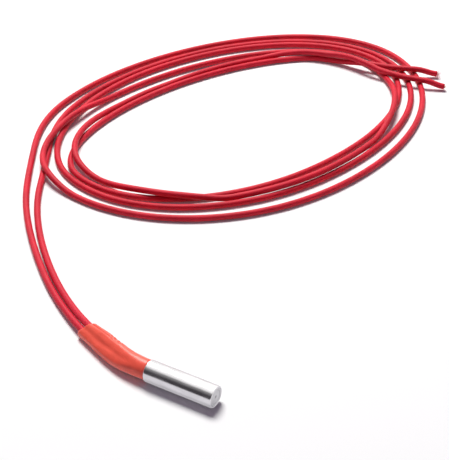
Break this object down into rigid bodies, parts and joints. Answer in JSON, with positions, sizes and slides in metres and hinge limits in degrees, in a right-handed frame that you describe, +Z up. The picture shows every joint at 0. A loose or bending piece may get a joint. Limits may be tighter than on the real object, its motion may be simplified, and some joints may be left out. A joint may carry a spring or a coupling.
{
  "type": "cartridge heater",
  "caption": "Small cylindrical cartridge heater with a steel sheath, a flattened sleeve over its lead exit and two long insulated leads in a loose hank.",
  "frame": {"origin": "under the middle of the rigid heater, from its pins to its closed end, on the floor that it lies on", "axes": "+X along the sheath towards its closed end, +Z up; the leads leave at the -X end and lie towards +Y"},
  "size_m": [0.1244, 0.2014, 0.0061],
  "materials": {
    "stainless": "drawn, bright",
    "ceramic": "matt",
    "magnesia": "packed powder",
    "nickel_alloy": "drawn wire",
    "tinned_brass": "tinned",
    "tinned_copper": "drawn strands",
    "glass_braid": "varnished braid",
    "sleeve_rubber": "satin",
    "lead_cover": "silicone over a fine braid"
  },
  "bodies": {
    "root": {"sheath": "stainless", "end_disc": "stainless", "bottom_insulator": "ceramic", "core": "ceramic", "resistance_wire": "nickel_alloy", "magnesia_fill": "magnesia", "end_plug": "ceramic", "pin_a": "nickel_alloy", "pin_b": "nickel_alloy", "crimp_a": "tinned_brass", "crimp_b": "tinned_brass", "strands_a": "tinned_copper", "strands_b": "tinned_copper", "inner_sleeve_a": "glass_braid", "inner_sleeve_b": "glass_braid", "sleeve": "sleeve_rubber", "lead_a_run": "lead_cover", "lead_b_run": "lead_cover", "hank": "lead_cover", "lead_a_tail": "lead_cover", "lead_b_tail": "lead_cover"}
  },
  "joints": []
}
